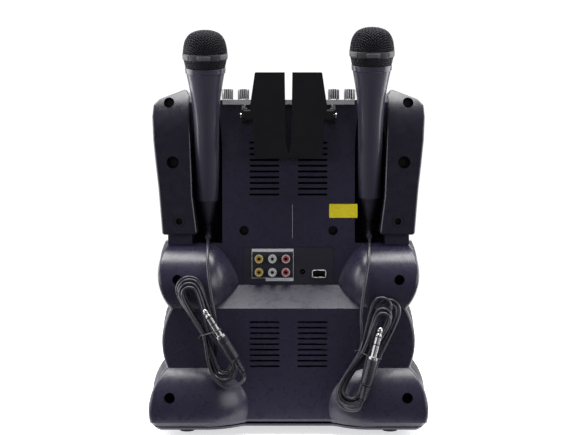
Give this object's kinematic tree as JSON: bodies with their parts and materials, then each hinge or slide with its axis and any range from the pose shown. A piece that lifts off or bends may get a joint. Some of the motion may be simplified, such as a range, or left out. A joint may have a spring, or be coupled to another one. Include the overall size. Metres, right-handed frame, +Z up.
{
  "type": "karaoke machine with disc tray",
  "caption": "Tower karaoke machine with scalloped side drums, rear sockets, tilting phone rest, sliding disc tray and wired microphones standing in notches at its upper corners.",
  "frame": {"origin": "on the floor under the middle of the housing, at the centre of the bounding box in X and Y, without the free cords", "axes": "+Z up; the screen and disc tray face -Y; the sockets and the cords are on the +Y side; +X is on the left seen from behind"},
  "size_m": [0.296, 0.2626, 0.418],
  "materials": {
    "body_plastic": "satin",
    "panel_plastic": "satin",
    "lens_plastic": "satin",
    "lamp_strip": "matte",
    "foot_rubber": "matte",
    "bright_trim": "polished",
    "knob_plastic": "satin",
    "button_plastic": "satin",
    "window_glass": "gloss",
    "dark_plastic": "satin",
    "grille_metal": "satin",
    "basket_steel": "satin",
    "cone_paper": "matte",
    "magnet_iron": "matte",
    "tray_plastic": "satin",
    "gear_plastic": "satin",
    "rod_steel": "polished",
    "board_green": "satin",
    "sink_aluminium": "satin",
    "jack_plate": "satin",
    "jack_yellow": "satin",
    "jack_white": "satin",
    "jack_red": "satin",
    "port_steel": "satin",
    "cradle_plastic": "matte",
    "pin_steel": "satin",
    "screw_steel": "satin",
    "mic_handle": "satin",
    "mic_mesh": "satin",
    "mic_ring": "satin",
    "cord_rubber": "satin",
    "switch_plastic": "satin",
    "plug_metal": "polished"
  },
  "bodies": {
    "housing": {"rear_cover": "body_plastic", "pod_cover_left": "body_plastic", "pod_cover_right": "body_plastic", "front_cabinet": "body_plastic", "light_columns": "lens_plastic", "led_strips": "lamp_strip", "rubber_feet": "foot_rubber", "control_panel": "panel_plastic", "top_trim": "bright_trim", "mic_input_jacks": "bright_trim", "display_window": "window_glass", "display_panel": "dark_plastic", "speaker_grille": "grille_metal", "speaker_basket": "basket_steel", "speaker_cone": "cone_paper", "speaker_magnet": "magnet_iron", "mechanism_frame": "dark_plastic", "guide_rods": "rod_steel", "circuit_boards": "board_green", "heat_sink": "sink_aluminium", "jack_panel": "jack_plate", "phono_jacks_yellow": "jack_yellow", "phono_jacks_white": "jack_white", "phono_jacks_red": "jack_red", "power_jack": "dark_plastic", "data_port": "port_steel", "cradle_brackets": "pin_steel", "hinge_pins": "pin_steel", "case_screws": "screw_steel"},
    "knob_1": {"control_knob_1": "knob_plastic"},
    "knob_2": {"control_knob_2": "knob_plastic"},
    "knob_3": {"control_knob_3": "knob_plastic"},
    "knob_4": {"control_knob_4": "knob_plastic"},
    "knob_5": {"control_knob_5": "knob_plastic"},
    "knob_6": {"control_knob_6": "knob_plastic"},
    "button_1": {"push_button_1": "button_plastic"},
    "button_2": {"push_button_2": "button_plastic"},
    "button_3": {"push_button_3": "button_plastic"},
    "tray": {"disc_tray": "tray_plastic", "tray_front": "body_plastic"},
    "gear": {"drive_gear": "gear_plastic"},
    "disc_turntable": {"turntable": "dark_plastic"},
    "pickup": {"pickup_sled": "dark_plastic"},
    "cradle": {"cradle_plate": "cradle_plastic"},
    "mic_left": {"mic_handle_left": "mic_handle", "mic_grille_left": "mic_mesh", "mic_ring_left": "mic_ring", "mic_cord_bush_left": "cord_rubber", "mic_cord_left": "cord_rubber", "cord_hank_left": "cord_rubber", "mic_plug_left": "plug_metal"},
    "switch_left": {"mic_switch_left": "switch_plastic"},
    "mic_right": {"mic_handle_right": "mic_handle", "mic_grille_right": "mic_mesh", "mic_ring_right": "mic_ring", "mic_cord_bush_right": "cord_rubber", "mic_cord_right": "cord_rubber", "cord_hank_right": "cord_rubber", "mic_plug_right": "plug_metal"},
    "switch_right": {"mic_switch_right": "switch_plastic"}
  },
  "joints": [
    {"name": "knob_1_turn", "type": "hinge", "parent": "housing", "child": "knob_1", "pos_m": [0.0644, 0.055, 0.3455], "axis": [0, 0, 1], "range_deg": [-140, 140]},
    {"name": "knob_2_turn", "type": "hinge", "parent": "housing", "child": "knob_2", "pos_m": [0.0475, 0.055, 0.3455], "axis": [0, 0, 1], "range_deg": [-140, 140]},
    {"name": "knob_3_turn", "type": "hinge", "parent": "housing", "child": "knob_3", "pos_m": [0.0306, 0.055, 0.3455], "axis": [0, 0, 1], "range_deg": [-140, 140]},
    {"name": "knob_4_turn", "type": "hinge", "parent": "housing", "child": "knob_4", "pos_m": [-0.0306, 0.055, 0.3455], "axis": [0, 0, 1], "range_deg": [-140, 140]},
    {"name": "knob_5_turn", "type": "hinge", "parent": "housing", "child": "knob_5", "pos_m": [-0.0475, 0.055, 0.3455], "axis": [0, 0, 1], "range_deg": [-140, 140]},
    {"name": "knob_6_turn", "type": "hinge", "parent": "housing", "child": "knob_6", "pos_m": [-0.0644, 0.055, 0.3455], "axis": [0, 0, 1], "range_deg": [-140, 140]},
    {"name": "button_1_press", "type": "slide", "parent": "housing", "child": "button_1", "axis": [0, 0.2147, -0.9767], "range_m": [0, 0.0015], "stiffness_N_per_m": 500, "springref_m": -0.001},
    {"name": "button_2_press", "type": "slide", "parent": "housing", "child": "button_2", "axis": [0, 0.2147, -0.9767], "range_m": [0, 0.0015], "stiffness_N_per_m": 500, "springref_m": -0.001},
    {"name": "button_3_press", "type": "slide", "parent": "housing", "child": "button_3", "axis": [0, 0.2147, -0.9767], "range_m": [0, 0.0015], "stiffness_N_per_m": 500, "springref_m": -0.001},
    {"name": "tray_slide", "type": "slide", "parent": "housing", "child": "tray", "axis": [0, -1, 0], "range_m": [0, 0.125]},
    {"name": "gear_turn", "type": "hinge", "parent": "housing", "child": "gear", "pos_m": [-0.0455, -0.088, 0.182], "axis": [0, 0, 1], "range_deg": [-1, 598]},
    {"name": "turntable_spin", "type": "hinge", "parent": "housing", "child": "disc_turntable", "pos_m": [0, -0.038, 0.18], "axis": [0, 0, 1], "continuous": true},
    {"name": "pickup_travel", "type": "slide", "parent": "housing", "child": "pickup", "axis": [0, 1, 0], "range_m": [0, 0.035]},
    {"name": "cradle_tilt", "type": "hinge", "parent": "housing", "child": "cradle", "pos_m": [0, 0.083, 0.3283], "axis": [1, 0, 0], "range_deg": [-10, 25]},
    {"name": "mic_left_lift", "type": "slide", "parent": "housing", "child": "mic_left", "axis": [0, 0.2334, 0.9724], "range_m": [0, 0.12]},
    {"name": "mic_switch_left_slide", "type": "slide", "parent": "mic_left", "child": "switch_left", "axis": [0, 0.2334, 0.9724], "range_m": [0, 0.005]},
    {"name": "mic_right_lift", "type": "slide", "parent": "housing", "child": "mic_right", "axis": [0, 0.2334, 0.9724], "range_m": [0, 0.12]},
    {"name": "mic_switch_right_slide", "type": "slide", "parent": "mic_right", "child": "switch_right", "axis": [0, 0.2334, 0.9724], "range_m": [0, 0.005]}
  ],
  "couplings": [
    {"joint": "gear_turn", "follows": "tray_slide", "rad_per_m": 83.333}
  ]
}
